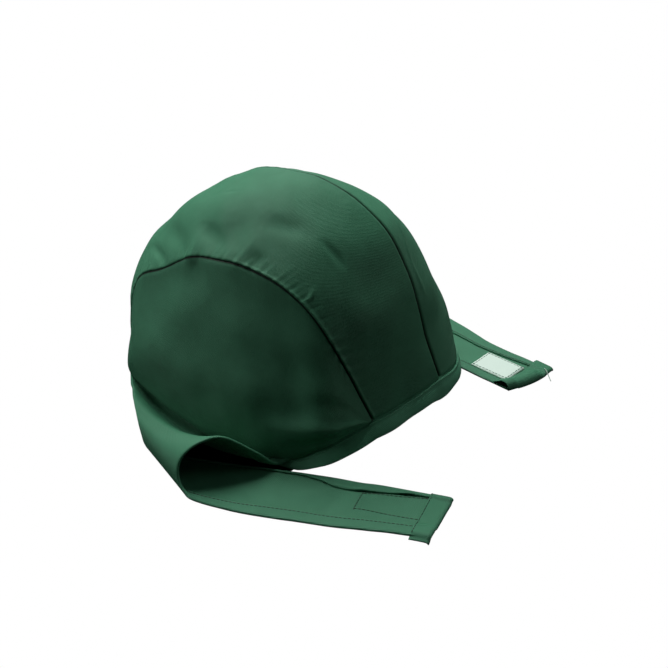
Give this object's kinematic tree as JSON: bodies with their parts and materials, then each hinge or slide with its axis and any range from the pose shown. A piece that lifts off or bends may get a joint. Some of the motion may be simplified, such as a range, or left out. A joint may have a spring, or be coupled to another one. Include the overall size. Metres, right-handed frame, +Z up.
{
  "type": "welding cap",
  "caption": "Sewn cotton skull cap for wear under a welding helmet, lying flat, with side panels, a seamed crown and fastening tails that curl forward.",
  "frame": {"origin": "on the table, under the middle of the part's box", "axes": "+X to the wearer's front, +Y to the wearer's left, +Z up as the cap lies"},
  "size_m": [0.2414, 0.2614, 0.147],
  "materials": {
    "cotton": "matt woven cotton",
    "tape": "matt hook-and-loop tape"
  },
  "bodies": {
    "root": {"crown_panel_right": "cotton", "crown_panel_left": "cotton", "side_panel_right": "cotton", "side_panel_left": "cotton", "rim_hem": "cotton", "tail_right": "cotton", "tail_left": "cotton", "hook_patch": "tape", "loop_patch": "tape"}
  },
  "joints": []
}
